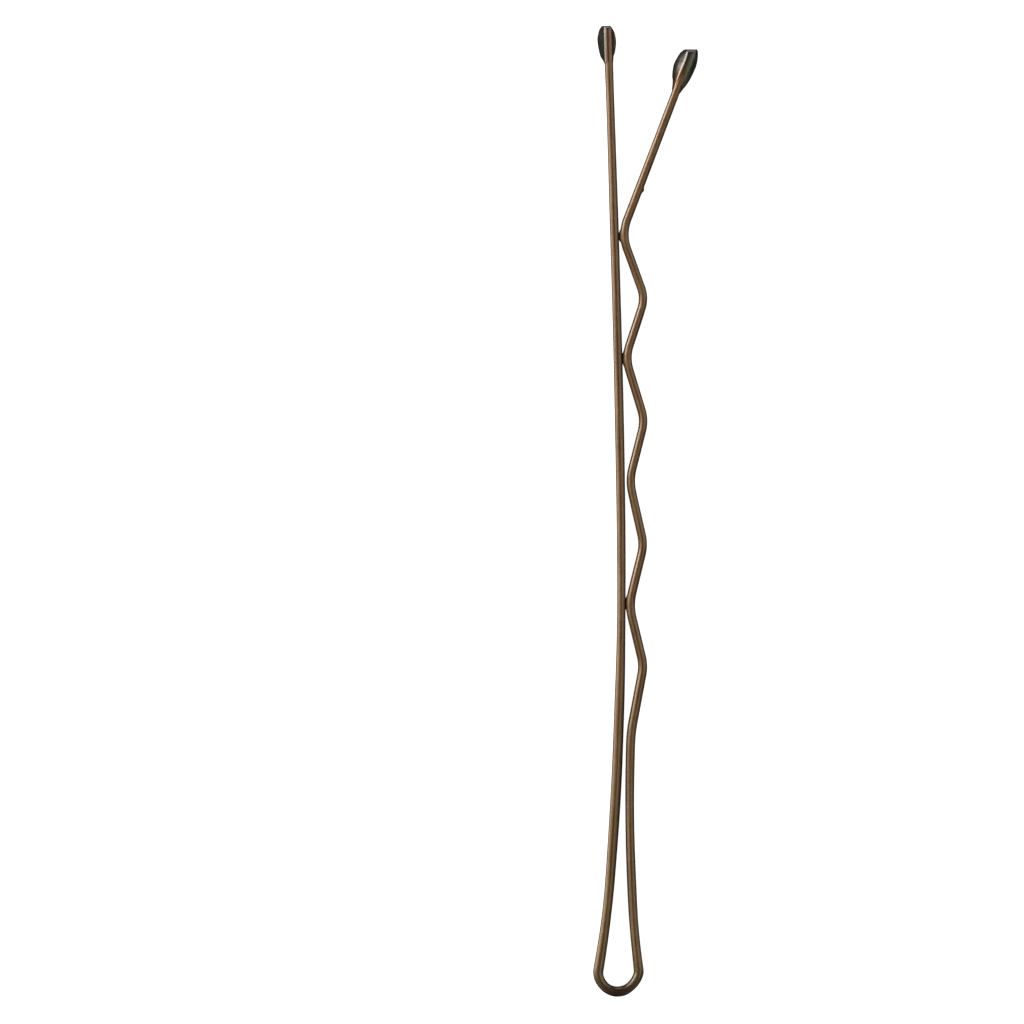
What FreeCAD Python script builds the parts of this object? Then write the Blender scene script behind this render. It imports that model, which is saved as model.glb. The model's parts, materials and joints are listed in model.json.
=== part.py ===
import FreeCAD, Part
import math
import os
from collections import namedtuple

# A ball-tip bobby pin: one flat spring wire bent round a loop into a straight leg and a wavy leg, with a
# drop of resin on each end. It lies on its side, with +Y from the loop to the tips, +X from the straight
# leg to the wavy leg and +Z up. It is drawn about the loop's centre, and then moved so that the origin is
# in the middle of its base. Lengths are in millimetres and angles in degrees.

# Wire. Its narrow edges are fully rounded.
wire_thickness = 0.55
wire_width = 1.3

# Loop
loop_eye_radius = 0.96

# Straight leg, from the loop up. It leans in, turns out along three arcs and ends in a straight run. The
# lengths of this run and of the flare are those of the bare wire below the resin.
straight_leg_lean = 9.17
root_arc_length = 5.83
root_arc_turn = 4.82
middle_arc_length = 22.2
middle_arc_turn = 5.2
upper_arc_length = 14.9
upper_arc_turn = 0.83
end_run_length = 13.04

# Wavy leg, from the loop up. Distances run along the straight leg, and gaps are from face to face.
low_arc_radius = 103.0
lower_bend_radius = 9.1
lower_bend_gap = 0.24
lower_bend_to_crest = 4.64
first_crest_distance = 18.7
crest_to_valley = 3.85
wave_pitch = 7.6
crest_gap = 1.1
crest_gap_shares = (0.755, 0.69, 0.835, 1.0)
valley_gap = 0.11
valley_gap_shares = (0.3, 1.0, 0.45, 0.55)
crest_bend_share = 0.27
valley_bend_share = 0.35
flare_angle = 22.4
flare_length = 8.41

# Resin drops. Covers are the resin on the wire's two broad faces, and caps the resin beyond its end.
edge_film = 0.07
least_film = 0.02
straight_tip_length = 2.37
straight_tip_cap = 0.28
straight_tip_left_cover = 0.38
straight_tip_right_cover = 0.16
wavy_tip_length = 2.8
wavy_tip_cap = 0.4
wavy_tip_left_cover = 0.35
wavy_tip_right_cover = 0.31

# Form of the resin drops from foot to nose: how far up, and the shares of the edge film and of the covers
drop_station_shares = (0.0, 0.1, 0.2, 0.3, 0.42, 0.56, 0.7, 0.82, 0.92, 1.0)
drop_film_shares = (0.3, 0.5, 0.7, 0.9, 1.0, 1.0, 1.0, 0.9, 0.3, -2.4)
straight_tip_left_shares = (0.0, 0.26, 0.57, 0.74, 0.87, 0.98, 1.0, 0.86, 0.6, 0.33)
straight_tip_right_shares = (0.0, 0.08, 0.28, 0.55, 0.82, 1.0, 0.92, 0.59, 0.08, -0.8)
wavy_tip_left_shares = (0.0, 0.1, 0.34, 0.64, 0.87, 1.0, 0.95, 0.72, 0.28, -0.35)
wavy_tip_right_shares = (0.0, 0.18, 0.5, 0.71, 0.89, 1.0, 0.99, 0.8, 0.48, 0.1)

loop_radius = loop_eye_radius + wire_thickness / 2

UP = FreeCAD.Vector(0, 0, 1)

# Which side of the wire, looking along it, a bend's centre is on
LEFT, RIGHT = -1, 1

# A crest or valley of the wave, with its place along the straight leg and its gap to it
Stop = namedtuple("Stop", "distance gap bend_share side")


def ahead(heading):
    """Unit vector along a heading, which is counted in radians from +Y towards +X."""
    return FreeCAD.Vector(math.sin(heading), math.cos(heading), 0)


def right_of(heading):
    """Unit vector square to a heading, on its right."""
    return FreeCAD.Vector(math.cos(heading), -math.sin(heading), 0)


def placed(shape, point, heading):
    """The shape, drawn at zero along +Y, moved to a point and turned to a heading."""
    shape.Placement = FreeCAD.Placement(point, FreeCAD.Rotation(UP, -math.degrees(heading)))
    return shape


def wire_outline():
    """Outline of the wire's section, square to +Y: two flat sides joined by half circles."""
    side = wire_thickness / 2
    edge = wire_width / 2
    flat = edge - side
    right_low, right_high, left_high, left_low = (
        FreeCAD.Vector(x, 0, z) for x, z in ((side, -flat), (side, flat), (-side, flat), (-side, -flat)))
    outline = (
        Part.LineSegment(right_low, right_high),
        Part.Arc(right_high, UP * edge, left_high),
        Part.LineSegment(left_high, left_low),
        Part.Arc(left_low, -UP * edge, right_low),
    )
    return Part.Wire([line.toShape() for line in outline])


class Run:
    """A stretch of the wire's middle line: straight, or an arc that turns right by a positive turn."""

    def __init__(self, start, heading, length, turn=0):
        self.start = start
        self.heading = heading
        self.length = length
        self.turn = turn

    def heading_at(self, distance):
        return self.heading + self.turn * distance / self.length

    def point_at(self, distance):
        if not self.turn:
            return self.start + ahead(self.heading) * distance
        radius = self.length / self.turn
        centre = self.start + right_of(self.heading) * radius
        return centre - right_of(self.heading_at(distance)) * radius

    def solid(self):
        section = Part.Face(wire_outline())
        if not self.turn:
            return placed(section.extrude(ahead(0) * self.length), self.start, self.heading)
        centre = right_of(0) * (self.length / self.turn)
        return placed(section.revolve(centre, UP, -math.degrees(self.turn)), self.start, self.heading)


class Bend:
    """A bend of the wire round a centre on its left or right side."""

    def __init__(self, centre, radius, side):
        self.centre = centre
        self.radius = radius
        self.side = side

    def point_at(self, heading):
        return self.centre - right_of(heading) * (self.radius * self.side)

    def run(self, heading_in, heading_out):
        turn = heading_out - heading_in
        return Run(self.point_at(heading_in), heading_in, self.radius * abs(turn), turn)

    def heading_to(self, other):
        """Heading of the straight wire that crosses from this bend to the next one, on its other side."""
        between = other.centre - self.centre
        lean = math.asin((self.radius + other.radius) / between.Length)
        return math.atan2(between.x, between.y) + self.side * lean


def follow(start, heading, pairs):
    """Runs that follow one another from a start, given as pairs of a length and a turn to the left."""
    runs = []
    for length, turn_left in pairs:
        runs.append(Run(start, heading, length, -math.radians(turn_left)))
        start = runs[-1].point_at(length)
        heading = runs[-1].heading_at(length)
    return runs


def place_along(runs, distance):
    """Point and heading at a distance along runs that follow one another."""
    for run in runs:
        if distance <= run.length or run is runs[-1]:
            return run.point_at(distance), run.heading_at(distance)
        distance -= run.length


def beside(runs, distance, gap, radius, side):
    """A bend of the wavy leg whose nearest or farthest point lies a gap away from the straight leg."""
    point, heading = place_along(runs, distance)
    offset = wire_thickness + gap + side * radius
    return Bend(point + right_of(heading) * offset, radius, side)


def straight_runs():
    """Middle line of the straight leg, from the loop to the end of its wire."""
    lean = math.radians(straight_leg_lean)
    return follow(-right_of(lean) * loop_radius, lean, (
        (root_arc_length, root_arc_turn),
        (middle_arc_length, middle_arc_turn),
        (upper_arc_length, upper_arc_turn),
        (end_run_length, 0),
        (straight_tip_length - straight_tip_cap, 0),
    ))


def wave_bends(straight):
    """Crests and valleys of the wave, from the loop up. Each radius is a share of the room for its flanks."""
    stops = []
    for index, (crest_share, valley_share) in enumerate(zip(crest_gap_shares, valley_gap_shares)):
        crest = first_crest_distance + index * wave_pitch
        stops.append(Stop(crest, crest_gap * crest_share, crest_bend_share, LEFT))
        stops.append(Stop(crest + crest_to_valley, valley_gap * valley_share, valley_bend_share, RIGHT))
    rooms = []
    for low, high in zip(stops, stops[1:]):
        climb = high.distance - low.distance
        swing = high.gap - low.gap
        rooms.append((climb ** 2 + swing ** 2) / (2 * abs(swing)))
    bends = []
    for index, stop in enumerate(stops):
        room = min(rooms[max(index - 1, 0):index + 1])
        bends.append(beside(straight, stop.distance, stop.gap, stop.bend_share * room, stop.side))
    return bends


def low_arc_centre(bend):
    """Centre of the long arc that leaves the loop and runs into the lower bend, tangent to both."""
    from_loop = low_arc_radius + loop_radius
    from_bend = low_arc_radius - bend.radius
    apart = bend.centre.Length
    along = (from_loop ** 2 - from_bend ** 2 + apart ** 2) / (2 * apart)
    across = math.sqrt(from_loop ** 2 - along ** 2)
    heading = math.atan2(bend.centre.x, bend.centre.y)
    return ahead(heading) * along + right_of(heading) * across


def wavy_runs(straight):
    """Middle lines of the wavy leg's shank, crimps and flare, from the loop to the end of its wire."""
    lower_distance = first_crest_distance - lower_bend_to_crest
    lower = beside(straight, lower_distance, lower_bend_gap, lower_bend_radius, RIGHT)
    low_arc = Bend(low_arc_centre(lower), low_arc_radius, RIGHT)
    to_bend = lower.centre - low_arc.centre
    heading = math.atan2(to_bend.y, -to_bend.x)
    runs = [low_arc.run(-math.atan2(low_arc.centre.y, low_arc.centre.x), heading)]
    bends = [lower] + wave_bends(straight)
    for bend, following in zip(bends, bends[1:]):
        leaving = bend.heading_to(following)
        runs.append(bend.run(heading, leaving))
        start = bend.point_at(leaving)
        flank = following.point_at(leaving) - start
        runs.append(Run(start, leaving, flank.Length))
        heading = leaving
    last_distance = first_crest_distance + (len(crest_gap_shares) - 1) * wave_pitch + crest_to_valley
    flare = place_along(straight, last_distance)[1] + math.radians(flare_angle)
    runs.append(bends[-1].run(heading, flare))
    end = follow(bends[-1].point_at(flare), flare, ((flare_length, 0), (wavy_tip_length - wavy_tip_cap, 0)))
    # The shank is the long arc and the lower bend.
    return runs[:2], runs[2:], end


def loop_run(straight, shank):
    """Middle line of the loop, from the wavy leg's foot round to the straight leg's foot."""
    bend = Bend(FreeCAD.Vector(0, 0, 0), loop_radius, RIGHT)
    return bend.run(shank[0].heading - math.pi, straight[0].heading)


def joined(runs):
    """One solid of wire along runs that follow one another."""
    solids = [run.solid() for run in runs]
    return solids[0].multiFuse(solids[1:]) if len(solids) > 1 else solids[0]


def resin_drop(run, wire, length, left_covers, right_covers):
    """Drop of resin round the last run of a wire and beyond its end, with the wire's own socket in it."""
    stations = zip(drop_station_shares, drop_film_shares, left_covers, right_covers)
    sections = []
    for station_share, film_share, left_cover, right_cover in stations:
        left = wire_thickness / 2 + least_film + left_cover
        right = wire_thickness / 2 + least_film + right_cover
        depth = wire_width / 2 + edge_film * film_share
        stretch = FreeCAD.Matrix()
        stretch.scale((left + right) / wire_thickness, 1, depth / (wire_width / 2))
        centre = run.point_at(length * station_share) + right_of(run.heading) * ((right - left) / 2)
        sections.append(placed(wire_outline().transformGeometry(stretch), centre, run.heading))
    return Part.makeLoft(sections, True).cut(wire)


def sized(shares, size):
    """Shares of a size, as lengths."""
    return [share * size for share in shares]


straight_path = straight_runs()
shank_path, crimp_path, flare_path = wavy_runs(straight_path)
wire_paths = {
    "straight_leg": straight_path,
    "spring_loop": [loop_run(straight_path, shank_path)],
    "wavy_leg_shank": shank_path,
    "wavy_leg_crimps": crimp_path,
    "wavy_leg_flare": flare_path,
}

shapes = {name: joined(runs) for name, runs in wire_paths.items()}
shapes["straight_leg_tip"] = resin_drop(
    straight_path[-1], shapes["straight_leg"], straight_tip_length,
    sized(straight_tip_left_shares, straight_tip_left_cover),
    sized(straight_tip_right_shares, straight_tip_right_cover))
shapes["wavy_leg_tip"] = resin_drop(
    flare_path[-1], shapes["wavy_leg_flare"], wavy_tip_length,
    sized(wavy_tip_left_shares, wavy_tip_left_cover),
    sized(wavy_tip_right_shares, wavy_tip_right_cover))

# The origin goes to the middle of the base.
box = Part.makeCompound(list(shapes.values())).optimalBoundingBox(False)
shift = FreeCAD.Vector(-box.Center.x, -box.Center.y, -box.ZMin)

os.makedirs("parts", exist_ok=True)
for name, shape in shapes.items():
    moved = shape.copy()
    moved.translate(shift)
    moved.exportStep("parts/" + name + ".step")
    print(f"{name}: {len(moved.Solids)} solid, {moved.Volume:.4f} mm3, valid {moved.isValid()}")

wire_area = Part.Face(wire_outline()).Area
for name, runs in wire_paths.items():
    length = sum(run.length for run in runs)
    print(f"{name}: wire {length:.3f} mm long, section times length {wire_area * length:.4f} mm3")
print("bend radii", [round(run.length / abs(run.turn), 2) for run in shank_path + crimp_path if run.turn])
print(f"overall {box.XLength:.3f} x {box.YLength:.3f} x {box.ZLength:.3f} mm")
print(f"loop centre {shift.x:.4f}, {shift.y:.4f}, {shift.z:.4f}")
gap = shapes["straight_leg"].distToShape(shapes["wavy_leg_crimps"])[0]
print(f"gap between the legs {gap:.4f} mm")
end_run = straight_path[-2]
face = end_run.point_at(end_run.length / 2) - right_of(end_run.heading) * (wire_thickness / 2) + shift
print(f"middle of the straight leg's outer face {face.x:.4f}, {face.y:.4f}, {face.z:.4f}")
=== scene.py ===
import json
import math
from collections import namedtuple

import bmesh
import bpy
import numpy as np
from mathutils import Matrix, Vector, noise


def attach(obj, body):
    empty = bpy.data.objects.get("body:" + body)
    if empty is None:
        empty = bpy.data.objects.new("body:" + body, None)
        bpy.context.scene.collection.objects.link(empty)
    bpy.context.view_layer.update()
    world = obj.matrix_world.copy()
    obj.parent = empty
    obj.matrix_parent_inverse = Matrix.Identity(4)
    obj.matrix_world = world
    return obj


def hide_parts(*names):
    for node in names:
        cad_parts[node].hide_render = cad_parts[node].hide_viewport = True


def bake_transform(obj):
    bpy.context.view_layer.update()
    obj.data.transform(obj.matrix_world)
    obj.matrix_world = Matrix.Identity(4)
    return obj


# The looks of a ball-tip bobby pin: an enamelled flat wire with a drop of resin on each end, lying on a pale
# floor. The wire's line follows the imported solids. Its sizes are in millimetres, as on a drawing, and the
# meshes in metres. The stage is in metres. Angles are in degrees.

MM = 0.001

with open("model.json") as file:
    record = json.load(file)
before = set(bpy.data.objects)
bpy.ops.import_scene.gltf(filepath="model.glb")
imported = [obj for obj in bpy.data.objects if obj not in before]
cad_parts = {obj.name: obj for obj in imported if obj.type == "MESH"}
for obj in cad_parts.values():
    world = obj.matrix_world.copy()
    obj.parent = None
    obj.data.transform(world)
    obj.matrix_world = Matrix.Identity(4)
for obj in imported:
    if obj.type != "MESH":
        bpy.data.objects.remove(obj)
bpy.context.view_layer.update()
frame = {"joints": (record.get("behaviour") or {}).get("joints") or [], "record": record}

mounts = {mount["name"]: mount for mount in frame["record"]["mounts"]}
loop_centre = Vector(frame["joints"][0]["pos_m"])

# Wire
wire_thickness = 0.55
wire_width = 1.3
loop_eye_radius = mounts["loop_eye"]["dims"]["r_mm"]
loop_radius = loop_eye_radius + wire_thickness / 2

# Straight leg, from the loop up
straight_leg_lean = 9.17
root_arc_length = 5.83
root_arc_turn = 4.82
middle_arc_length = 22.2
middle_arc_turn = 5.2
upper_arc_length = 14.9
upper_arc_turn = 0.83
end_run_length = 13.04

# Wavy leg, from the loop up
low_arc_radius = 103.0
lower_bend_radius = 9.1
lower_bend_gap = 0.24
lower_bend_to_crest = 4.64
first_crest_distance = 18.7
crest_to_valley = 3.85
wave_pitch = 7.6
crest_gap = 1.1
crest_gap_shares = (0.755, 0.69, 0.835, 1.0)
valley_gap = 0.11
valley_gap_shares = (0.3, 1.0, 0.45, 0.55)
crest_bend_share = 0.27
valley_bend_share = 0.35
flare_angle = 22.4
flare_length = 8.41

# The wire as drawn and bent. It is thicker round the loop than at the tips and strays a little to the right
# of its line, or to the left. Both legs are rolled a little on themselves, the straight leg most between the
# loop and the wave. The loop is pressed in on its lower right. Places are distances from the loop, and on the
# loop shares of its length.
straight_swell_places = (0.0, 1.2, 3.0, 5.0, 9.0, 13.0, 17.0, 21.0,
                         27.0, 33.0, 36.0, 40.0, 47.0, 50.0, 54.5, 57.0)
straight_swell_shares = (0.16, 0.13, 0.05, 0.03, 0.06, 0.05, 0.04, -0.07,
                         -0.04, -0.01, -0.03, -0.05, -0.05, -0.08, -0.08, 0.0)
straight_sway_places = (0.0, 3.0, 8.0, 12.0, 15.0, 19.0, 25.0, 33.0, 38.0, 47.0, 53.0, 57.0)
straight_sways = (-0.015, 0.02, 0.028, 0.03, 0.012, 0.012, 0.0, 0.008, 0.008, 0.002, -0.014, -0.04)
straight_roll_places = (0.0, 4.0, 11.5, 19.0, 40.0, 52.0, 57.0)
straight_rolls = (0.0, 2.5, 6.0, 3.0, 2.5, 1.5, 0.0)
wavy_swell_places = (0.0, 1.2, 2.5, 5.0, 9.5, 15.0, 20.0, 25.0,
                     30.0, 36.0, 40.0, 44.0, 47.0, 50.0, 58.1)
wavy_swell_shares = (0.12, 0.02, -0.02, -0.02, -0.06, 0.0, 0.0, -0.03,
                     -0.06, -0.07, -0.05, -0.09, -0.05, -0.06, -0.08)
wavy_sway_places = (0.0, 3.0, 5.5, 9.0, 20.0, 24.0, 27.0, 29.0, 32.5,
                    35.0, 37.5, 41.0, 43.0, 44.5, 46.5, 49.0, 58.1)
wavy_sways = (0.01, -0.03, -0.006, 0.002, 0.0, 0.0, 0.012, -0.012, 0.0,
              0.009, -0.006, 0.012, 0.0, 0.014, 0.012, 0.024, 0.043)
wavy_roll_places = (0.0, 4.0, 10.0, 18.0, 45.0, 50.0, 58.1)
wavy_rolls = (0.0, -2.0, -2.0, -0.7, -0.5, 0.0, 0.0)
loop_swell_places = (0.0, 0.15, 0.27, 0.46, 0.54, 0.69, 0.85, 1.0)
loop_swell_shares = (0.12, 0.07, 0.03, 0.105, 0.105, 0.06, 0.12, 0.16)
loop_sway_places = (0.0, 0.05, 0.1, 0.17, 0.24, 0.31, 0.39,
                    0.47, 0.54, 0.62, 0.78, 0.88, 0.95, 1.0)
loop_sways = (-0.01, -0.004, 0.025, 0.058, 0.074, 0.07, 0.04,
              0.022, 0.002, -0.014, -0.018, -0.028, -0.024, -0.015)

# Webs that fill the gap where the wave's valleys rest on the straight leg, but for a clearance. They are
# painted shade: dark sheets in the broad faces' painted-shade colour, put where the legs meet in shadow. The
# larger a fullness, the more of a web has its full reach.
web_places = (22.8, 38.3, 46.2)
web_lengths = (0.6, 0.55, 0.45)
web_height = 0.62
web_depth = 0.15
web_fullness = 4.0
web_end_fullness = 2.0
web_clearance = 0.004

# A burr on the flare's outer side, near the wire's upper edge
burr_place = 49.27
burr_length = 0.22
burr_level = 0.35
burr_depth = 0.3
burr_height = 0.08

# Enamel: it is a little uneven round the wire's edges, by a share of the wire's thickness.
enamel_ripple = 0.03
ripple_length = 1.1

# Resin drops, each with a bulge on the left and on the right of its wire. A cap is the resin beyond the
# wire's end, and a cover is how far a bulge stands off the wire. Shares of the covers, of the film over the
# wire's edges and of the crown are given at stations along a drop, from its foot to its nose.
straight_tip_length = 2.37
straight_tip_cap = 0.28
straight_tip_left_cover = 0.37
straight_tip_right_cover = 0.23
wavy_tip_length = 2.8
wavy_tip_cap = 0.4
wavy_tip_left_cover = 0.42
wavy_tip_right_cover = 0.363
drop_station_shares = (0.0, 0.1, 0.2, 0.3, 0.42, 0.56, 0.7, 0.82, 0.92, 1.0)
straight_tip_left_shares = (-0.15, 0.18, 0.55, 0.73, 0.875, 0.98, 1.0, 0.84, 0.62, 0.27)
straight_tip_right_shares = (-0.02, 0.1, 0.22, 0.6, 0.84, 1.02, 0.93, 0.67, 0.2, -0.42)
wavy_tip_left_shares = (-0.27, -0.03, 0.25, 0.59, 0.83, 1.0, 0.92, 0.81, 0.655, 0.35)
wavy_tip_right_shares = (0.0, 0.26, 0.55, 0.75, 0.91, 0.98, 1.0, 0.79, 0.45, 0.04)
straight_tip_film_shares = (-0.15, 0.05, 0.15, 0.22, 0.27, 0.3, 0.3, 0.25, 0.15, 0.1)
wavy_tip_film_shares = (-0.9, -0.75, -0.55, -0.35, 0.0, 0.6, 0.95, 0.95, 0.8, 0.6)
crown_shares = (0.0, 0.0, 0.1, 0.3, 0.6, 0.9, 1.0, 0.85, 0.55, 0.3)
edge_film = 0.07

# Sections of the drops. A bulge with a roundness of 2 is an ellipse, and with less it is sharper. It sags by
# its droop, and a fillet joins it to the resin over the wire's edges. The straight leg's drop is shifted to
# the left as a whole, and the wavy leg's drop has its crown to the right of its wire.
straight_tip_fillet = 0.02
wavy_tip_fillet = 0.09
straight_tip_left_height = 0.65
straight_tip_left_roundness = 1.15
straight_tip_right_height = 0.5
straight_tip_right_roundness = 2.0
straight_tip_droop = 0.75
wavy_tip_left_height = 0.74
wavy_tip_left_roundness = 1.5
wavy_tip_right_height = 0.6
wavy_tip_right_roundness = 2.0
wavy_tip_droop = 0.1
straight_tip_shift = -0.05
wavy_tip_crown = 0.13

# Noses of the drops: a facet curves off above and below, and the wavy leg's nose is skew to its wire.
wavy_tip_nose_skew = 20.7
straight_tip_facet_share = 0.91
straight_tip_facet_drop = 0.26
wavy_tip_facet_share = 0.91
wavy_tip_facet_drop = 0.28
nose_start_share = 0.7

# Mesh steps
wire_step = 0.1
line_step = 0.05
edge_steps = 14
flat_steps = 5
drop_steps = 96
drop_rings = 72

# Enamel colours and finish. Scales are counts per millimetre across, along and up the straight wire.
enamel_light = (0.265, 0.142, 0.036)
enamel_dark = (0.165, 0.08, 0.015)
enamel_red = (0.185, 0.067, 0.012)
# Painted shade: the broad faces are coloured darker so the wire's rims look shaded.
face_painted_shade = (0.075, 0.041, 0.015)
# Painted shade round the loop, where the enamel catches less light.
loop_painted_shade = (0.04, 0.023, 0.004)
enamel_olive = (0.17, 0.105, 0.02)
olive_strength = 0.3
olive_reach = 3.0
olive_end = 30.0
# Heights in the section where the broad faces' painted shade gives way to the edges' brown.
face_height = 0.38
edge_height = 0.54
streak_scale = (7.0, 0.35, 7.0)
streak_detail = 5.0
streak_range = (0.35, 0.65)
mottle_scale = (3.0, 1.6, 3.0)
mottle_detail = 4.0
mottle_range = (0.3, 0.7)
mottle_strength = 0.6
grain_scale = (14.0, 5.0, 14.0)
grain_detail = 3.0
grain_strength = 0.25
grain_depth = 0.01
# Where the painted shade round the loop starts to fade, and where it ends.
loop_shade_reach = 0.1
loop_shade_end = 2.6
enamel_metallic = 0.24
enamel_ior = 1.96
enamel_roughness = (0.26, 0.4)
face_roughness = 0.55

# Resin colours and finish. The enamel shows where the resin over it is thin. The resin is painted a lighter
# red along its left rim, as painted light coming through it on its lit side, and painted light olive on the
# right where it is shallow, as a painted sheen. Sides are distances to the right of the wire's middle.
resin_dark = (0.019, 0.0205, 0.01)
# Painted light: the lighter red of the resin's left, lit rim.
resin_lit_red = (0.05, 0.018, 0.01)
resin_lit_red_sides = (-0.66, -0.36)
# Painted sheen: a light olive band on the resin's right, where it is shallow.
resin_painted_sheen = (0.17, 0.172, 0.112)
resin_sheen_sides = (0.02, 0.2)
resin_sheen_depths = (0.08, 0.28)
resin_tint_share = 0.6
resin_clear_depths = (0.015, 0.085)
resin_roughness = (0.22, 0.32)
resin_coat = 1.0
resin_coat_roughness = 0.22
resin_ior = 1.75
resin_ripple_strength = 0.1
cloud_scale = (2.2, 1.2, 2.2)
cloud_detail = 3.0
cloud_range = (0.3, 0.7)

# Stage. A softbox has a bearing, an angle from straight up, a width, a height and a radiance.
floor_width = 2.0
floor_colour = (0.8, 0.8, 0.8)
floor_glow = 1.0
light_distance = 0.5
light_colour = (1.0, 0.97, 0.92)
softboxes = (
    (152.0, 70.0, 0.36, 0.3, 5.4),
    (170.0, 88.0, 0.36, 0.25, 3.2),
    (183.0, 42.0, 0.36, 0.16, 1.4),
    (28.0, 70.0, 0.55, 0.27, 1.2),
    (0.0, 38.0, 0.45, 0.25, 0.95),
    (95.0, 92.0, 0.2, 0.45, 1.4),
    (225.0, 66.0, 0.2, 0.16, 1.0),
    (300.0, 70.0, 0.35, 0.25, 0.45),
)
studio_glow = 0.02
camera_height = 0.6
camera_clip_share = 0.01
image_pixels = 1024
millimetres_per_pixel = 0.061817
loop_pixel_x = 618.6
loop_pixel_y = 971.8

LEFT, RIGHT = -1, 1

Stop = namedtuple("Stop", "distance gap bend_share side")
Form = namedtuple("Form", "sway swell_share roll web burr", defaults=(0, 0, 0))


# Line of the wire, on the plane through its middle, about the loop's centre

def ahead(heading):
    """Unit vector along a heading, which is counted in radians from +Y towards +X."""
    return Vector((math.sin(heading), math.cos(heading)))


def right_of(heading):
    """Unit vector square to a heading, on its right."""
    return Vector((math.cos(heading), -math.sin(heading)))


class Run:
    """A stretch of the wire's middle line: straight, or an arc that turns right by a positive turn."""

    def __init__(self, start, heading, length, turn=0):
        self.start = start
        self.heading = heading
        self.length = length
        self.turn = turn

    def heading_at(self, distance):
        return self.heading + self.turn * distance / self.length

    def point_at(self, distance):
        if not self.turn:
            return self.start + ahead(self.heading) * distance
        radius = self.length / self.turn
        centre = self.start + right_of(self.heading) * radius
        return centre - right_of(self.heading_at(distance)) * radius


class Bend:
    """A bend of the wire round a centre on its left or right side."""

    def __init__(self, centre, radius, side):
        self.centre = centre
        self.radius = radius
        self.side = side

    def point_at(self, heading):
        return self.centre - right_of(heading) * (self.radius * self.side)

    def run(self, heading_in, heading_out):
        turn = heading_out - heading_in
        return Run(self.point_at(heading_in), heading_in, self.radius * abs(turn), turn)

    def heading_to(self, other):
        """Heading of the straight wire that crosses from this bend to the next one, on its other side."""
        between = other.centre - self.centre
        lean = math.asin((self.radius + other.radius) / between.length)
        return math.atan2(between.x, between.y) + self.side * lean


def follow(start, heading, pairs):
    """Runs that follow one another from a start, given as pairs of a length and a turn to the left."""
    runs = []
    for length, turn_left in pairs:
        runs.append(Run(start, heading, length, -math.radians(turn_left)))
        start = runs[-1].point_at(length)
        heading = runs[-1].heading_at(length)
    return runs


def place_along(runs, distance):
    """Point and heading at a distance along runs that follow one another."""
    for run in runs:
        if distance <= run.length or run is runs[-1]:
            return run.point_at(distance), run.heading_at(distance)
        distance -= run.length


def beside(runs, distance, gap, radius, side):
    """A bend of the wavy leg whose nearest or farthest point lies a gap away from the straight leg."""
    point, heading = place_along(runs, distance)
    offset = wire_thickness + gap + side * radius
    return Bend(point + right_of(heading) * offset, radius, side)


def straight_runs():
    """Middle line of the straight leg, from the loop to the end of its wire in the resin."""
    lean = math.radians(straight_leg_lean)
    return follow(-right_of(lean) * loop_radius, lean, (
        (root_arc_length, root_arc_turn),
        (middle_arc_length, middle_arc_turn),
        (upper_arc_length, upper_arc_turn),
        (end_run_length, 0),
        (straight_tip_length - straight_tip_cap, 0),
    ))


def wave_bends(straight):
    """Crests and valleys of the wave, from the loop up. Each radius is a share of the room for its flanks."""
    stops = []
    for index, (crest_share, valley_share) in enumerate(zip(crest_gap_shares, valley_gap_shares)):
        crest = first_crest_distance + index * wave_pitch
        stops.append(Stop(crest, crest_gap * crest_share, crest_bend_share, LEFT))
        stops.append(Stop(crest + crest_to_valley, valley_gap * valley_share, valley_bend_share, RIGHT))
    rooms = []
    for low, high in zip(stops, stops[1:]):
        climb = high.distance - low.distance
        swing = high.gap - low.gap
        rooms.append((climb ** 2 + swing ** 2) / (2 * abs(swing)))
    bends = []
    for index, stop in enumerate(stops):
        room = min(rooms[max(index - 1, 0):index + 1])
        bends.append(beside(straight, stop.distance, stop.gap, stop.bend_share * room, stop.side))
    return bends


def low_arc_centre(bend):
    """Centre of the long arc that leaves the loop and runs into the lower bend, tangent to both."""
    from_loop = low_arc_radius + loop_radius
    from_bend = low_arc_radius - bend.radius
    apart = bend.centre.length
    along = (from_loop ** 2 - from_bend ** 2 + apart ** 2) / (2 * apart)
    across = math.sqrt(from_loop ** 2 - along ** 2)
    heading = math.atan2(bend.centre.x, bend.centre.y)
    return ahead(heading) * along + right_of(heading) * across


def wavy_runs(straight):
    """Middle line of the wavy leg, from the loop to the end of its wire in the resin."""
    lower_distance = first_crest_distance - lower_bend_to_crest
    lower = beside(straight, lower_distance, lower_bend_gap, lower_bend_radius, RIGHT)
    low_arc = Bend(low_arc_centre(lower), low_arc_radius, RIGHT)
    to_bend = lower.centre - low_arc.centre
    heading = math.atan2(to_bend.y, -to_bend.x)
    runs = [low_arc.run(-math.atan2(low_arc.centre.y, low_arc.centre.x), heading)]
    bends = [lower] + wave_bends(straight)
    for bend, following in zip(bends, bends[1:]):
        leaving = bend.heading_to(following)
        runs.append(bend.run(heading, leaving))
        start = bend.point_at(leaving)
        flank = following.point_at(leaving) - start
        runs.append(Run(start, leaving, flank.length))
        heading = leaving
    last_distance = first_crest_distance + (len(crest_gap_shares) - 1) * wave_pitch + crest_to_valley
    flare = place_along(straight, last_distance)[1] + math.radians(flare_angle)
    runs.append(bends[-1].run(heading, flare))
    return runs + follow(bends[-1].point_at(flare), flare, (
        (flare_length, 0),
        (wavy_tip_length - wavy_tip_cap, 0),
    ))


def loop_run(straight, wavy):
    """Middle line of the loop, from the wavy leg's foot round to the straight leg's foot."""
    bend = Bend(Vector((0, 0)), loop_radius, RIGHT)
    return bend.run(wavy[0].heading - math.pi, straight[0].heading)


# Meshes

def in_frame(point, up):
    """A place on the wire's plane, and a height above it, as a point of the frame in metres."""
    return loop_centre + Vector((point.x, point.y, up)) * MM


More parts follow.
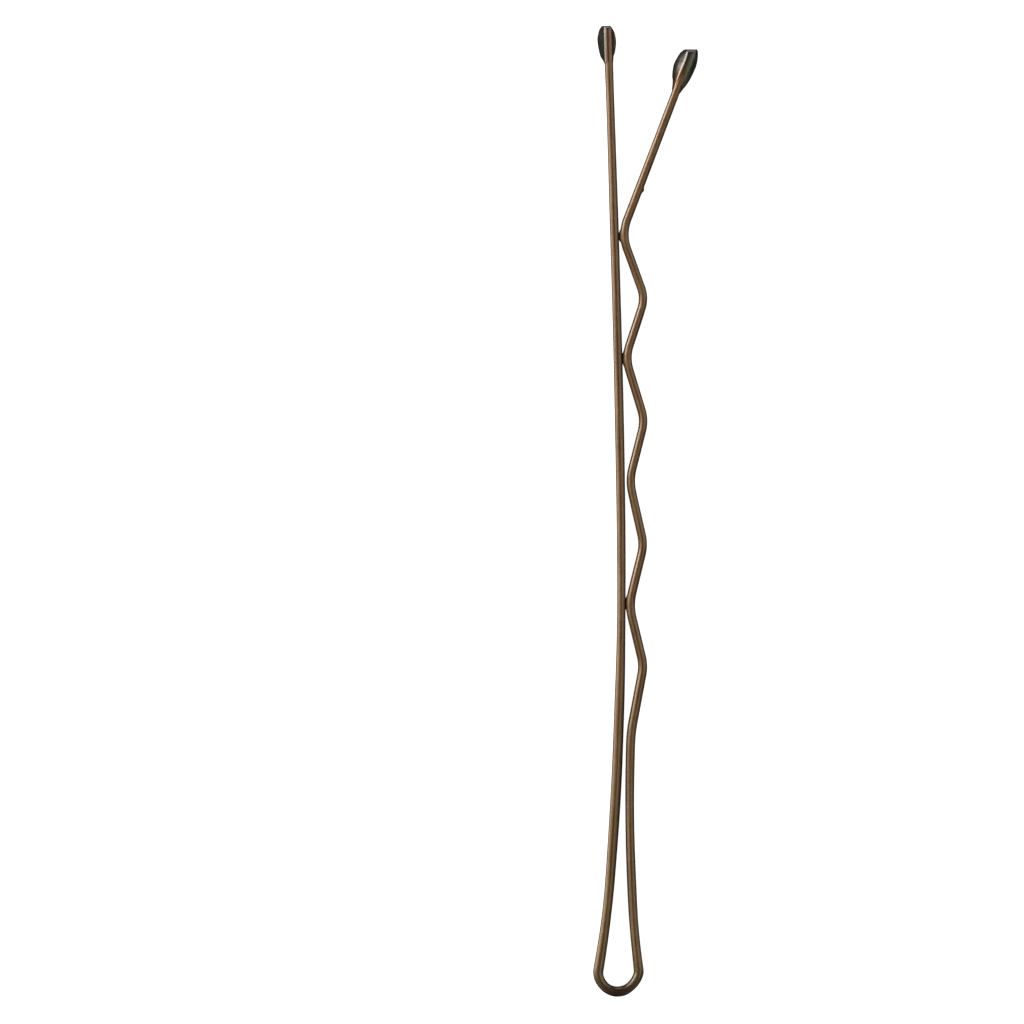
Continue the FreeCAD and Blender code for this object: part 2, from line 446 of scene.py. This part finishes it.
def wire_section():
    """Outline of the wire's section, as pairs of places across it and up.

    Its flat sides are joined by half circles.
    """
    side = wire_thickness / 2
    flat = wire_width / 2 - side
    points = []
    for end in (1, -1):
        for step in range(edge_steps):
            angle = math.pi * step / edge_steps
            points.append((end * side * math.cos(angle), end * (flat + side * math.sin(angle))))
        for step in range(flat_steps):
            points.append((-end * side, end * flat * (1 - 2 * step / flat_steps)))
    return points


def closed_tube(name, rings, attributes):
    """A mesh through rings of as many points each, closed at both ends, with named vectors at its points."""
    count = len(rings[0])
    points = [point for ring in rings for point in ring]
    faces = []
    for index in range(len(rings) - 1):
        for step in range(count):
            after = (step + 1) % count
            low, high = index * count, (index + 1) * count
            faces.append((low + step, low + after, high + after, high + step))
    last = (len(rings) - 1) * count
    faces.append(tuple(reversed(range(count))))
    faces.append(tuple(range(last, last + count)))
    mesh = bpy.data.meshes.new(name)
    mesh.from_pydata(points, [], faces)
    for attribute_name, vectors in attributes.items():
        attribute = mesh.attributes.new(attribute_name, "FLOAT_VECTOR", "POINT")
        attribute.data.foreach_set("vector", np.array(vectors, np.float32).ravel())
    shaped = bmesh.new()
    shaped.from_mesh(mesh)
    bmesh.ops.recalc_face_normals(shaped, faces=shaped.faces)
    for face in shaped.faces:
        face.smooth = len(face.verts) == 4
        if not face.smooth:
            for edge in face.edges:
                edge.smooth = False
    shaped.to_mesh(mesh)
    shaped.free()
    piece = bpy.data.objects.new(name, mesh)
    bpy.context.scene.collection.objects.link(piece)
    return piece


def smooth_through(places, values, at):
    """A value at a place, on a smooth curve through the values at given places."""
    slopes = np.gradient(values, places)
    index = min(max(int(np.searchsorted(places, at)) - 1, 0), len(places) - 2)
    span = places[index + 1] - places[index]
    part = (at - places[index]) / span
    rise = part * part * (3 - 2 * part)
    value = values[index] * (1 - rise) + values[index + 1] * rise
    leave = slopes[index] * part * (1 - part) ** 2
    arrive = slopes[index + 1] * part ** 2 * (1 - part)
    return value + span * (leave - arrive)


def swelling(away, reach):
    """One at a middle, falling smoothly to nothing at a reach away from it."""
    return math.cos(math.pi / 2 * min(abs(away) / reach, 1)) ** 2


def straight_form(distance):
    """How the straight leg departs from its line at a distance from the loop."""
    return Form(smooth_through(straight_sway_places, straight_sways, distance),
                smooth_through(straight_swell_places, straight_swell_shares, distance),
                smooth_through(straight_roll_places, straight_rolls, distance))


def loop_form(distance):
    """How the loop departs from its line at a distance from the wavy leg's foot."""
    share = distance / loop_length
    return Form(smooth_through(loop_sway_places, loop_sways, share),
                smooth_through(loop_swell_places, loop_swell_shares, share))


def leg_gap(point, swell_share):
    """Gap between the straight leg and a place on the wavy leg's middle line."""
    away = np.hypot(straight_line[:, 1] - point.x, straight_line[:, 2] - point.y)
    distance = straight_line[int(np.argmin(away)), 0]
    form = straight_form(distance)
    thickness = wire_thickness * (1 + (form.swell_share + swell_share) / 2)
    return float(np.min(away)) - form.sway - thickness


def wavy_form(distance):
    """How the wavy leg departs from its line at a distance from the loop, with its webs and its burr."""
    swell_share = smooth_through(wavy_swell_places, wavy_swell_shares, distance)
    sway = smooth_through(wavy_sway_places, wavy_sways, distance)
    web = 0
    for place, length in zip(web_places, web_lengths):
        if abs(distance - place) < length:
            gap = leg_gap(place_along(wavy_path, distance)[0], swell_share) + sway
            web = max(gap - web_clearance, 0) * min(web_end_fullness * swelling(distance - place, length), 1)
    burr = burr_height * swelling(distance - burr_place, burr_length)
    return Form(sway, swell_share, smooth_through(wavy_roll_places, wavy_rolls, distance), web, burr)


def web_profile(up):
    """Share of a web's reach at a height of the wire's section. Its top is flat, and its underside hollow."""
    if up < 0:
        return swelling(up, web_depth)
    return min(web_fullness * swelling(up, web_height), 1)


def wire_piece(name, runs, wire_start, wire_sense, form_at):
    """A stretch of wire along runs. Its points know their place on the straight wire before it was bent."""
    total = sum(run.length for run in runs)
    rings, unbent = [], []
    for distance in np.linspace(0, total, math.ceil(total / wire_step) + 1):
        point, heading = place_along(runs, distance)
        form = form_at(distance)
        roll = math.radians(form.roll)
        ring = []
        for across, up in wire_section():
            straight_place = Vector((wire_sense * across, wire_start + wire_sense * distance, up))
            on_edge = max(abs(up) - (wire_width - wire_thickness) / 2, 0) / (wire_thickness / 2)
            ripple = 1 + on_edge * enamel_ripple * noise.noise(straight_place / ripple_length)
            side = across * (1 + form.swell_share) * ripple
            rolled_side = side * math.cos(roll) - up * math.sin(roll)
            # The webs on the inner side are painted shade filling the contact between the legs.
            if across < 0:
                rolled_side -= form.web * web_profile(up)
            else:
                rolled_side += form.burr * swelling(up - burr_level, burr_depth)
            rolled_up = up * math.cos(roll) + side * math.sin(roll)
            ring.append(in_frame(point + right_of(heading) * (form.sway + rolled_side), rolled_up))
            unbent.append(straight_place)
        rings.append(ring)
    return closed_tube(name, rings, {"unbent": unbent})


straight_path = straight_runs()
wavy_path = wavy_runs(straight_path)
loop_path = [loop_run(straight_path, wavy_path)]
loop_length = loop_path[0].length

straight_line = np.array([(distance, *place_along(straight_path, distance)[0])
                          for distance in np.arange(0, sum(run.length for run in straight_path), line_step)])

straight_leg = wire_piece("straight_leg_wire", straight_path, 0, 1, straight_form)
loop = wire_piece("loop_wire", loop_path, -loop_length, 1, loop_form)
wavy_leg = wire_piece("wavy_leg_wire", wavy_path, -loop_length, -1, wavy_form)


# Resin drops

Bulge = namedtuple("Bulge", "cover shares height roundness")
Drop = namedtuple("Drop", "length cap left right film_shares fillet droop facet_share facet_drop"
                          " nose_skew shift crown", defaults=(0, 0, 0))


def ridge_reach(angle, side, depth):
    """How far the resin over the wire's edge reaches from the middle, towards an angle of the section."""
    flat = depth - side
    along, up = abs(math.cos(angle)), abs(math.sin(angle))
    if up * side <= along * flat:
        return side / along
    return flat * up + math.sqrt(max(side ** 2 - (flat * along) ** 2, 0))


def bulge_reach(angle, width, bulge, depth):
    """How far a bulge of resin on the wire's broad face reaches from the middle, towards an angle."""
    along = abs(math.cos(angle)) / width
    up = abs(math.sin(angle)) / min(bulge.height, depth)
    return (along ** bulge.roundness + up ** bulge.roundness) ** (-1 / bulge.roundness)


def merged(first, second, fillet):
    """The larger of two reaches, with a fillet where they cross."""
    larger, smaller = max(first, second), min(first, second)
    return larger + fillet * math.log1p(math.exp((smaller - larger) / fillet))


def wire_depth(across, along, up, wire_end):
    """How deep the wire lies below a point of the resin's surface."""
    flat = wire_width / 2 - wire_thickness / 2
    beside_wire = max(math.hypot(across, max(abs(up) - flat, 0)) - wire_thickness / 2, 0)
    return math.hypot(beside_wire, max(along - wire_end, 0))


def drop_section(drop, share):
    """Outline of a drop's section at a share of its length, as pairs of places across it and up.

    The nose is a facet that curves off above and below.
    """
    side = wire_thickness / 2
    film = edge_film * smooth_through(drop_station_shares, drop.film_shares, share)
    depth = wire_width / 2 + film
    facet = depth - drop.facet_drop * (max(share - drop.facet_share, 0) / (1 - drop.facet_share)) ** 2
    crown = drop.crown * smooth_through(drop_station_shares, crown_shares, share)
    points = []
    for step in range(drop_steps):
        angle = 2 * math.pi * step / drop_steps
        on_right = math.cos(angle) >= 0
        bulge = drop.right if on_right else drop.left
        from_crown = -crown if on_right else crown
        width = side + from_crown + bulge.cover * smooth_through(drop_station_shares, bulge.shares, share)
        ridge = ridge_reach(angle, min(side + film, width), depth)
        reach = merged(ridge, bulge_reach(angle, width, bulge, depth), drop.fillet)
        across, up = reach * math.cos(angle), reach * math.sin(angle)
        sagged = up - drop.droop * max(abs(across) - side, 0)
        points.append((across + crown + drop.shift, max(min(sagged, facet), -facet)))
    return points


def drop_piece(name, run, drop):
    """A drop of resin round the last run of a wire and beyond its end.

    Its points know how deep the wire lies below them and how far they are to the right of it.
    """
    wire_end = drop.length - drop.cap
    rings, unbent, resin = [], [], []
    for index in range(drop_rings + 1):
        share = index / drop_rings
        nose_share = max(share - nose_start_share, 0) / (1 - nose_start_share)
        skew = math.tan(math.radians(drop.nose_skew)) * nose_share
        ring = []
        for across, up in drop_section(drop, share):
            along = drop.length * share + across * skew
            point = run.start + ahead(run.heading) * along + right_of(run.heading) * across
            ring.append(in_frame(point, up))
            unbent.append((across, along, up))
            resin.append((wire_depth(across, along, up, wire_end), across, 0))
        rings.append(ring)
    return closed_tube(name, rings, {"unbent": unbent, "resin": resin})


straight_tip = drop_piece("straight_tip_resin", straight_path[-1], Drop(
    length=straight_tip_length,
    cap=straight_tip_cap,
    left=Bulge(straight_tip_left_cover, straight_tip_left_shares, straight_tip_left_height,
               straight_tip_left_roundness),
    right=Bulge(straight_tip_right_cover, straight_tip_right_shares, straight_tip_right_height,
                straight_tip_right_roundness),
    film_shares=straight_tip_film_shares,
    fillet=straight_tip_fillet,
    droop=straight_tip_droop,
    facet_share=straight_tip_facet_share,
    facet_drop=straight_tip_facet_drop,
    shift=straight_tip_shift,
))
wavy_tip = drop_piece("wavy_tip_resin", wavy_path[-1], Drop(
    length=wavy_tip_length,
    cap=wavy_tip_cap,
    left=Bulge(wavy_tip_left_cover, wavy_tip_left_shares, wavy_tip_left_height, wavy_tip_left_roundness),
    right=Bulge(wavy_tip_right_cover, wavy_tip_right_shares, wavy_tip_right_height, wavy_tip_right_roundness),
    film_shares=wavy_tip_film_shares,
    fillet=wavy_tip_fillet,
    droop=wavy_tip_droop,
    facet_share=wavy_tip_facet_share,
    facet_drop=wavy_tip_facet_drop,
    nose_skew=wavy_tip_nose_skew,
    crown=wavy_tip_crown,
))


# Materials

class Shader:
    """A node material with short calls for its nodes."""

    def __init__(self, name, **constants):
        self.material = bpy.data.materials.new(name)
        self.material.use_nodes = True
        self.tree = self.material.node_tree
        self.surface = self.tree.nodes["Principled BSDF"]
        for socket, value in constants.items():
            self.surface.inputs[socket.replace("_", " ")].default_value = value

    def add(self, kind, inputs=(), **settings):
        node = self.tree.nodes.new("ShaderNode" + kind)
        for setting, value in settings.items():
            setattr(node, setting, value)
        for socket, value in dict(inputs).items():
            if isinstance(value, bpy.types.NodeSocket):
                self.tree.links.new(value, node.inputs[socket])
            else:
                node.inputs[socket].default_value = value
        return node

    def vector(self, name):
        return self.add("Attribute", attribute_name=name).outputs["Vector"]

    def noise(self, vector, scale, detail):
        stretched = self.add("VectorMath", {0: vector, 1: scale}, operation="MULTIPLY").outputs["Vector"]
        return self.add("TexNoise", {"Vector": stretched, "Scale": 1.0, "Detail": detail}).outputs["Fac"]

    def mapped(self, value, low, high, to_low, to_high, way="SMOOTHSTEP"):
        inputs = {"Value": value, "From Min": low, "From Max": high, "To Min": to_low, "To Max": to_high}
        return self.add("MapRange", inputs, interpolation_type=way).outputs["Result"]

    def mixed(self, factor, first, second):
        node = self.add("Mix", {"Factor": factor}, data_type="RGBA")
        targets = [socket for socket in node.inputs if socket.type == "RGBA"]
        for target, value in zip(targets, (first, second)):
            if isinstance(value, bpy.types.NodeSocket):
                self.tree.links.new(value, target)
            else:
                target.default_value = (*value, 1)
        return [socket for socket in node.outputs if socket.type == "RGBA"][0]

    def product(self, first, second):
        return self.add("Math", {0: first, 1: second}, operation="MULTIPLY").outputs["Value"]

    def part(self, vector, axis):
        return self.add("SeparateXYZ", {"Vector": vector}).outputs[axis]

    def absolute(self, value):
        return self.add("Math", {0: value}, operation="ABSOLUTE").outputs["Value"]

    def shifted(self, value, shift):
        return self.add("Math", {0: value, 1: shift}, operation="ADD").outputs["Value"]

    def bump(self, height, strength, distance):
        inputs = {"Height": height, "Strength": strength, "Distance": distance}
        self.set("Normal", self.add("Bump", inputs).outputs["Normal"])

    def set(self, socket, value):
        self.tree.links.new(value, self.surface.inputs[socket])


def enamel_colour(shader, unbent):
    """Colour of the brown enamel, with its lengthwise streaks and how far a point is on the wire's edges.

    The enamel is mottled. It is painted darker on the broad faces and round the loop than on the edges:
    painted shade.
    """
    streaks = shader.mapped(shader.noise(unbent, streak_scale, streak_detail), *streak_range, 0.0, 1.0)
    mottle = shader.mapped(shader.noise(unbent, mottle_scale, mottle_detail), *mottle_range, 0.0, 1.0)
    on_edge = shader.mapped(shader.absolute(shader.part(unbent, "Z")), face_height, edge_height, 0.0, 1.0)
    brown = shader.mixed(streaks, enamel_dark, enamel_light)
    brown = shader.mixed(shader.mapped(mottle, 0.0, 1.0, 0.0, mottle_strength), brown, enamel_red)
    from_loop = shader.absolute(shader.shifted(shader.part(unbent, "Y"), loop_length / 2))
    olive = shader.mapped(from_loop, olive_reach, olive_end, olive_strength, 0.0)
    brown = shader.mixed(olive, brown, enamel_olive)
    # Painted shade round the loop, fading out along the legs.
    off_loop = shader.mapped(from_loop, loop_shade_reach, loop_shade_end, 0.0, 1.0, "LINEAR")
    brown = shader.mixed(off_loop, loop_painted_shade, brown)
    # Painted shade on the broad faces, below the edges.
    return shader.mixed(on_edge, face_painted_shade, brown), streaks, on_edge


def wire_enamel():
    """Satin brown enamel, a little rougher on the broad faces and finely grained."""
    shader = Shader("wire_enamel", Metallic=enamel_metallic, IOR=enamel_ior)
    unbent = shader.vector("unbent")
    colour, streaks, on_edge = enamel_colour(shader, unbent)
    edge_roughness = shader.mapped(streaks, 0.0, 1.0, *enamel_roughness)
    shader.set("Base Color", colour)
    shader.set("Roughness", shader.mapped(on_edge, 0.0, 1.0, face_roughness, edge_roughness))
    shader.bump(shader.noise(unbent, grain_scale, grain_detail), grain_strength, grain_depth * MM)
    return shader.material


def tip_resin():
    """Dark glossy resin, through which the wire's enamel shows where it is thin."""
    shader = Shader("tip_resin", Coat_Weight=resin_coat, Coat_Roughness=resin_coat_roughness, IOR=resin_ior)
    unbent = shader.vector("unbent")
    enamel = enamel_colour(shader, unbent)[0]
    tinted = shader.mixed(resin_tint_share, enamel, enamel_red)
    place = shader.vector("resin")
    depth = shader.part(place, "X")
    across = shader.part(place, "Y")
    clouds = shader.mapped(shader.noise(unbent, cloud_scale, cloud_detail), *cloud_range, 0.0, 1.0)
    # Painted light along the left rim, where light comes through the resin.
    lit_red_side = shader.mapped(across, *resin_lit_red_sides, 1.0, 0.0)
    resin = shader.mixed(shader.product(lit_red_side, clouds), resin_dark, resin_lit_red)
    # Painted sheen on the right where the resin is shallow.
    sheen_side = shader.mapped(across, *resin_sheen_sides, 0.0, 1.0)
    shallow = shader.mapped(depth, *resin_sheen_depths, 1.0, 0.0)
    resin = shader.mixed(shader.product(sheen_side, shallow), resin, resin_painted_sheen)
    covered = shader.mapped(depth, *resin_clear_depths, 0.0, 1.0)
    shader.set("Base Color", shader.mixed(covered, tinted, resin))
    shader.set("Metallic", shader.mapped(covered, 0.0, 1.0, enamel_metallic, 0.0))
    shader.set("Roughness", shader.mapped(clouds, 0.0, 1.0, *resin_roughness))
    shader.bump(clouds, resin_ripple_strength, grain_depth * MM)
    return shader.material


enamel = wire_enamel()
resin = tip_resin()
for piece in (straight_leg, loop, wavy_leg):
    piece.data.materials.append(enamel)
for piece in (straight_tip, wavy_tip):
    piece.data.materials.append(resin)

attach(straight_leg, "fixed_leg")
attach(straight_tip, "fixed_leg")
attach(wavy_leg, "opening_leg")
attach(wavy_tip, "opening_leg")
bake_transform(loop)
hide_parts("straight_leg")
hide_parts("spring_loop")
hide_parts("wavy_leg_shank", "wavy_leg_crimps", "wavy_leg_flare")
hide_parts("straight_leg_tip")
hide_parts("wavy_leg_tip")


# Stage

def floor():
    """A pale floor, lit a little from within as on a light table."""
    mesh = bpy.data.meshes.new("floor")
    half = floor_width / 2
    corners = [(-half, -half, 0), (half, -half, 0), (half, half, 0), (-half, half, 0)]
    mesh.from_pydata(corners, [], [(0, 1, 2, 3)])
    plane = bpy.data.objects.new("floor", mesh)
    bpy.context.scene.collection.objects.link(plane)
    shader = Shader("floor", Base_Color=(*floor_colour, 1), Roughness=1.0, Specular_IOR_Level=0.0,
                    Emission_Color=(1, 1, 1, 1), Emission_Strength=floor_glow)
    mesh.materials.append(shader.material)
    plane.visible_glossy = False
    plane.visible_diffuse = False
    plane.visible_shadow = False


def softbox(name, azimuth, from_zenith, width, height, radiance):
    """A soft light at a bearing from +X towards +Y and an angle from straight up, aimed at the pin."""
    bearing, tilt = math.radians(azimuth), math.radians(from_zenith)
    back = Vector((math.sin(tilt) * math.cos(bearing), math.sin(tilt) * math.sin(bearing), math.cos(tilt)))
    light = bpy.data.lights.new(name, "AREA")
    light.shape = "RECTANGLE"
    light.size, light.size_y = width, height
    light.energy = radiance * math.pi * width * height
    light.color = light_colour
    lamp = bpy.data.objects.new(name, light)
    lamp.location = back * light_distance
    lamp.rotation_mode = "QUATERNION"
    lamp.rotation_quaternion = back.to_track_quat("Z", "Y")
    bpy.context.scene.collection.objects.link(lamp)


def photo_camera():
    """A camera straight above, with a long lens, that frames the pin as the photograph does."""
    aim_x = loop_centre.x + (image_pixels / 2 - loop_pixel_x) * millimetres_per_pixel * MM
    aim_y = loop_centre.y + (loop_pixel_y - image_pixels / 2) * millimetres_per_pixel * MM
    data = bpy.data.cameras.new("camera")
    data.lens = data.sensor_width * camera_height / (image_pixels * millimetres_per_pixel * MM)
    data.clip_start = camera_height * camera_clip_share
    camera = bpy.data.objects.new("camera", data)
    camera.location = (aim_x, aim_y, loop_centre.z + camera_height)
    bpy.context.scene.collection.objects.link(camera)
    bpy.context.scene.camera = camera


floor()
for number, settings in enumerate(softboxes):
    softbox("softbox_%d" % number, *settings)
world = bpy.data.worlds.new("studio")
world.use_nodes = True
world.node_tree.nodes["Background"].inputs["Color"].default_value = (1, 1, 1, 1)
world.node_tree.nodes["Background"].inputs["Strength"].default_value = studio_glow
bpy.context.scene.world = world
bpy.context.scene.view_settings.view_transform = "Standard"
photo_camera()
